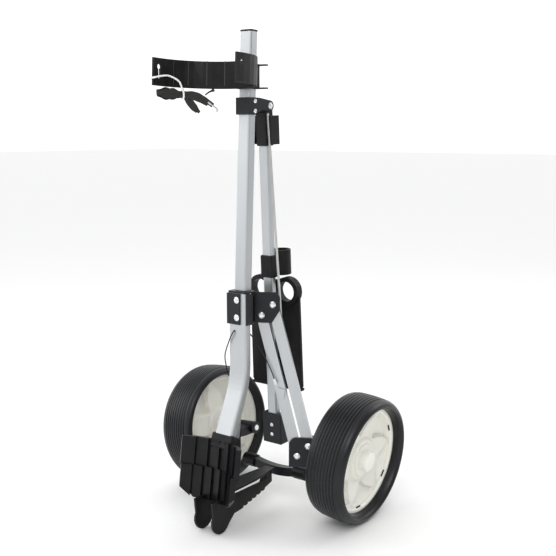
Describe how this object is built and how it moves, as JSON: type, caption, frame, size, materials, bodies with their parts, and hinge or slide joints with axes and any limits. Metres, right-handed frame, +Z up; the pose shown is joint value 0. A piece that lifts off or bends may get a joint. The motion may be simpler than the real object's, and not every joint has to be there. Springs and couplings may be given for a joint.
{
  "type": "golf push trolley",
  "caption": "Two-wheel golf push trolley, folded, with a mast, bag cradles, wheels on swinging twin legs, and a handle that unfolds and spreads the legs by drive rods.",
  "frame": {"origin": "On the floor, under the middle of the folded trolley's box.", "axes": "+Z up along the mast, +X to the right wheel, -Y towards the bag side, +Y towards the folded handle."},
  "size_m": [0.4968, 0.3995, 0.979],
  "materials": {
    "silver_aluminium": "satin anodised, faint drawing lines along the tubes",
    "bright_steel": "zinc plated, bright",
    "rod_steel": "plated wire rod, satin",
    "tyre_rubber": "matte, ribbed round the tread",
    "cream_plastic": "moulded, satin, slightly yellow",
    "black_steel": "black powder coat, semi-gloss",
    "black_plastic": "moulded nylon, fine grain",
    "strap_webbing": "woven webbing",
    "white_cord": "plastic coated tie",
    "black_cord": "braided"
  },
  "bodies": {
    "frame": {"cradle_clamp": "black_plastic", "foot_pin": "bright_steel", "foot_plate_left": "black_plastic", "foot_plate_right": "black_plastic", "foot_stay": "black_plastic", "foot_web": "black_plastic", "handle_hinge_bracket": "black_steel", "handle_pivot_pin": "bright_steel", "lower_cradle": "black_plastic", "lower_leg_top_pin_left": "bright_steel", "lower_leg_top_pin_right": "bright_steel", "lower_mast_tube": "silver_aluminium", "mast_coupler": "black_plastic", "mast_end_plug": "black_plastic", "mid_bracket_left": "black_steel", "mid_bracket_right": "black_steel", "mid_bracket_rivet_1": "bright_steel", "mid_bracket_rivet_2": "bright_steel", "rest_bar": "black_steel", "rest_bar_cap_left": "black_plastic", "rest_bar_cap_right": "black_plastic", "spread_cord_left": "black_cord", "spread_cord_right": "black_cord", "strap_hank": "strap_webbing", "strap_lead": "strap_webbing", "tie_cord": "white_cord", "upper_cradle": "black_plastic", "upper_leg_top_pin_left": "bright_steel", "upper_leg_top_pin_right": "bright_steel", "upper_mast_tube": "silver_aluminium"},
    "handle": {"handle_knuckle": "black_plastic", "handle_tube": "silver_aluminium", "console_clamp": "black_plastic", "umbrella_socket": "black_plastic", "score_board": "black_plastic", "handle_end_bracket": "black_steel", "handle_end_insert": "black_plastic"},
    "lower_leg_right": {"lower_leg_right": "silver_aluminium"},
    "upper_leg_right": {"upper_leg_right": "silver_aluminium", "drive_stud_right": "bright_steel"},
    "wheel_bracket_right": {"wheel_bracket_right": "black_steel", "lower_leg_foot_pin_right": "bright_steel", "upper_leg_foot_pin_right": "bright_steel", "axle_right": "bright_steel"},
    "wheel_right": {"tyre_right": "tyre_rubber", "wheel_hub_right": "cream_plastic", "hub_cap_right": "cream_plastic"},
    "drive_rod_right": {"drive_rod_right": "rod_steel"},
    "lower_leg_left": {"lower_leg_left": "silver_aluminium"},
    "upper_leg_left": {"upper_leg_left": "silver_aluminium", "drive_stud_left": "bright_steel"},
    "wheel_bracket_left": {"wheel_bracket_left": "black_steel", "lower_leg_foot_pin_left": "bright_steel", "upper_leg_foot_pin_left": "bright_steel", "axle_left": "bright_steel"},
    "wheel_left": {"tyre_left": "tyre_rubber", "wheel_hub_left": "cream_plastic", "hub_cap_left": "cream_plastic"},
    "drive_rod_left": {"drive_rod_left": "rod_steel"}
  },
  "joints": [
    {"name": "handle_hinge", "type": "hinge", "parent": "frame", "child": "handle", "pos_m": [0, 0.00765, 0.835], "axis": [1, 0, 0], "range_deg": [0, 135]},
    {"name": "drive_rod_right_swing", "type": "hinge", "parent": "handle", "child": "drive_rod_right", "pos_m": [0.0185, -0.00285, 0.82], "axis": [0.9995, 0.0214, -0.0243], "range_deg": [-138, 0]},
    {"name": "lower_leg_right_swing", "type": "hinge", "parent": "frame", "child": "lower_leg_right", "pos_m": [0.02159, -0.02635, 0.4203], "axis": [0.5, -0.866, 0], "range_deg": [0, 32.1]},
    {"name": "upper_leg_right_swing", "type": "hinge", "parent": "frame", "child": "upper_leg_right", "pos_m": [0.04142, -0.0149, 0.4422], "axis": [0.5, -0.866, 0], "range_deg": [0, 32.1]},
    {"name": "wheel_bracket_right_level", "type": "hinge", "parent": "lower_leg_right", "child": "wheel_bracket_right", "pos_m": [0.08464, 0.01005, 0.129], "axis": [0.5, -0.866, 0], "range_deg": [-32.1, 0]},
    {"name": "wheel_right_spin", "type": "hinge", "parent": "wheel_bracket_right", "child": "wheel_right", "pos_m": [0.1915, 0.06765, 0.13096], "axis": [0.9936, 0.0436, -0.1045], "continuous": true},
    {"name": "drive_rod_left_swing", "type": "hinge", "parent": "handle", "child": "drive_rod_left", "pos_m": [-0.0185, -0.00285, 0.82], "axis": [0.9995, -0.0214, 0.0243], "range_deg": [-138, 0]},
    {"name": "lower_leg_left_swing", "type": "hinge", "parent": "frame", "child": "lower_leg_left", "pos_m": [-0.02159, -0.02635, 0.4203], "axis": [0.5, 0.866, 0], "range_deg": [0, 32.1]},
    {"name": "upper_leg_left_swing", "type": "hinge", "parent": "frame", "child": "upper_leg_left", "pos_m": [-0.04142, -0.0149, 0.4422], "axis": [0.5, 0.866, 0], "range_deg": [0, 32.1]},
    {"name": "wheel_bracket_left_level", "type": "hinge", "parent": "lower_leg_left", "child": "wheel_bracket_left", "pos_m": [-0.08464, 0.01005, 0.129], "axis": [0.5, 0.866, 0], "range_deg": [-32.1, 0]},
    {"name": "wheel_left_spin", "type": "hinge", "parent": "wheel_bracket_left", "child": "wheel_left", "pos_m": [-0.1915, 0.06765, 0.13096], "axis": [-0.9936, 0.0436, -0.1045], "continuous": true}
  ],
  "couplings": [
    {"joint": "drive_rod_right_swing", "follows": "handle_hinge", "ratio": -1.0179},
    {"joint": "lower_leg_right_swing", "follows": "handle_hinge", "ratio": 0.23704},
    {"joint": "upper_leg_right_swing", "follows": "handle_hinge", "ratio": 0.23704},
    {"joint": "wheel_bracket_right_level", "follows": "handle_hinge", "ratio": -0.23704},
    {"joint": "drive_rod_left_swing", "follows": "handle_hinge", "ratio": -1.0179},
    {"joint": "lower_leg_left_swing", "follows": "handle_hinge", "ratio": 0.23704},
    {"joint": "upper_leg_left_swing", "follows": "handle_hinge", "ratio": 0.23704},
    {"joint": "wheel_bracket_left_level", "follows": "handle_hinge", "ratio": -0.23704}
  ]
}
